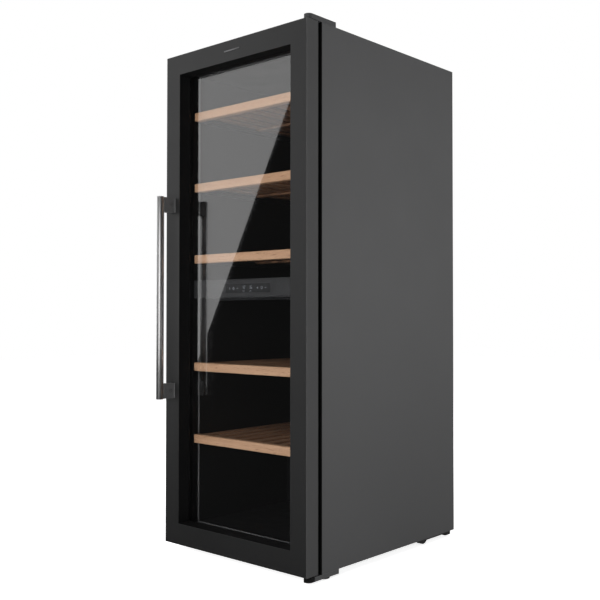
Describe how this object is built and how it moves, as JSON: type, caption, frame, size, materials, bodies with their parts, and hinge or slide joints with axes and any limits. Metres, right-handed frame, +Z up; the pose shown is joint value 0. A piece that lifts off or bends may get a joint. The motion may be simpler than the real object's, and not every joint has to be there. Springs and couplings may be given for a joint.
{
  "type": "wine cooler",
  "caption": "Tall free-standing dual-zone wine cooler with a framed glass door, a vertical bar handle, pull-out beech shelves and a rear compressor bay.",
  "frame": {"origin": "on the floor under the middle of the whole body, handle included", "axes": "+Z up; the door faces -Y and the back of the cabinet +Y; +X is to the right of someone facing the door, where the door hinges are"},
  "size_m": [0.495, 0.6532, 1.292],
  "materials": {
    "cabinet_paint": "satin",
    "door_paint": "satin",
    "black_plastic": "matte",
    "grey_plastic": "satin",
    "handle_mount_paint": "satin",
    "display_black": "gloss",
    "lamp_white": "satin",
    "insulation": "matte",
    "coil_aluminium": "satin",
    "compressor_paint": "satin",
    "zinc_steel": "satin",
    "foot_rubber": "matte",
    "gasket_rubber": "matte",
    "door_glass": "polished",
    "handle_steel": "polished",
    "badge_grey": "satin",
    "beech": "satin"
  },
  "bodies": {
    "cabinet": {"side_panel_left": "cabinet_paint", "side_panel_right": "cabinet_paint", "top_panel": "cabinet_paint", "rear_panel": "cabinet_paint", "base_plate": "cabinet_paint", "bay_grille": "cabinet_paint", "hinge_bracket_lower": "cabinet_paint", "compressor_rail": "cabinet_paint", "roller_bracket_left": "cabinet_paint", "roller_bracket_right": "cabinet_paint", "liner_wall_left": "black_plastic", "liner_wall_right": "black_plastic", "liner_ceiling": "black_plastic", "liner_rear_wall": "black_plastic", "liner_floor": "black_plastic", "front_frame": "black_plastic", "zone_divider": "black_plastic", "duct_cover_upper": "black_plastic", "duct_cover_lower": "black_plastic", "drip_tray": "black_plastic", "condenser_shroud": "black_plastic", "power_inlet": "black_plastic", "control_panel": "grey_plastic", "hinge_cover_upper": "grey_plastic", "display_window": "display_black", "light_upper": "lamp_white", "light_lower": "lamp_white", "insulation_foam": "insulation", "evaporator_upper": "coil_aluminium", "evaporator_lower": "coil_aluminium", "condenser": "coil_aluminium", "compressor": "compressor_paint", "hinge_bracket_upper": "zinc_steel"},
    "door": {"door_frame": "door_paint", "door_inner_frame": "black_plastic", "glass_outer": "door_glass", "glass_spacer": "black_plastic", "glass_inner": "door_glass", "door_gasket": "gasket_rubber", "handle_bar": "handle_steel", "handle_mount_lower": "handle_mount_paint", "handle_mount_upper": "handle_mount_paint", "badge": "badge_grey"},
    "shelf_1": {"shelf_1_front": "beech", "shelf_1_slats": "beech"},
    "shelf_2": {"shelf_2_front": "beech", "shelf_2_slats": "beech"},
    "shelf_3": {"shelf_3_front": "beech", "shelf_3_slats": "beech"},
    "shelf_4": {"shelf_4_front": "beech", "shelf_4_slats": "beech"},
    "shelf_5": {"shelf_5_front": "beech", "shelf_5_slats": "beech"},
    "foot_left": {"levelling_foot_left": "foot_rubber"},
    "foot_right": {"levelling_foot_right": "foot_rubber"},
    "roller_left": {"rear_roller_left": "foot_rubber"},
    "roller_right": {"rear_roller_right": "foot_rubber"},
    "fan_upper": {"zone_fan_upper": "black_plastic"},
    "fan_lower": {"zone_fan_lower": "black_plastic"},
    "fan_condenser": {"condenser_fan": "black_plastic"}
  },
  "joints": [
    {"name": "door_hinge", "type": "hinge", "parent": "cabinet", "child": "door", "pos_m": [0.2365, -0.25738, 0], "axis": [0, 0, 1], "range_deg": [0, 120]},
    {"name": "shelf_1_slide", "type": "slide", "parent": "cabinet", "child": "shelf_1", "axis": [0, -1, 0], "range_m": [0, 0.088]},
    {"name": "shelf_2_slide", "type": "slide", "parent": "cabinet", "child": "shelf_2", "axis": [0, -1, 0], "range_m": [0, 0.088]},
    {"name": "shelf_3_slide", "type": "slide", "parent": "cabinet", "child": "shelf_3", "axis": [0, -1, 0], "range_m": [0, 0.088]},
    {"name": "shelf_4_slide", "type": "slide", "parent": "cabinet", "child": "shelf_4", "axis": [0, -1, 0], "range_m": [0, 0.088]},
    {"name": "shelf_5_slide", "type": "slide", "parent": "cabinet", "child": "shelf_5", "axis": [0, -1, 0], "range_m": [0, 0.088]},
    {"name": "foot_left_screw", "type": "hinge", "parent": "cabinet", "child": "foot_left", "pos_m": [-0.228, -0.19537, 0], "axis": [0, 0, 1], "continuous": true},
    {"name": "roller_left_axle", "type": "hinge", "parent": "cabinet", "child": "roller_left", "pos_m": [-0.226, 0.20062, 0.019], "axis": [1, 0, 0], "continuous": true},
    {"name": "foot_right_screw", "type": "hinge", "parent": "cabinet", "child": "foot_right", "pos_m": [0.228, -0.19537, 0], "axis": [0, 0, 1], "continuous": true},
    {"name": "roller_right_axle", "type": "hinge", "parent": "cabinet", "child": "roller_right", "pos_m": [0.226, 0.20062, 0.019], "axis": [1, 0, 0], "continuous": true},
    {"name": "fan_upper_shaft", "type": "hinge", "parent": "cabinet", "child": "fan_upper", "pos_m": [0, 0.24563, 1.154], "axis": [0, 1, 0], "continuous": true},
    {"name": "fan_lower_shaft", "type": "hinge", "parent": "cabinet", "child": "fan_lower", "pos_m": [0, 0.24563, 0.568], "axis": [0, 1, 0], "continuous": true},
    {"name": "fan_condenser_shaft", "type": "hinge", "parent": "cabinet", "child": "fan_condenser", "pos_m": [0.07, 0.23963, 0.0935], "axis": [0, 1, 0], "continuous": true}
  ],
  "couplings": [
    {"joint": "shelf_1_slide", "follows": "door_hinge", "m_per_rad": 0.042},
    {"joint": "shelf_2_slide", "follows": "door_hinge", "m_per_rad": 0.042},
    {"joint": "shelf_3_slide", "follows": "door_hinge", "m_per_rad": 0.042},
    {"joint": "shelf_4_slide", "follows": "door_hinge", "m_per_rad": 0.042},
    {"joint": "shelf_5_slide", "follows": "door_hinge", "m_per_rad": 0.042}
  ]
}
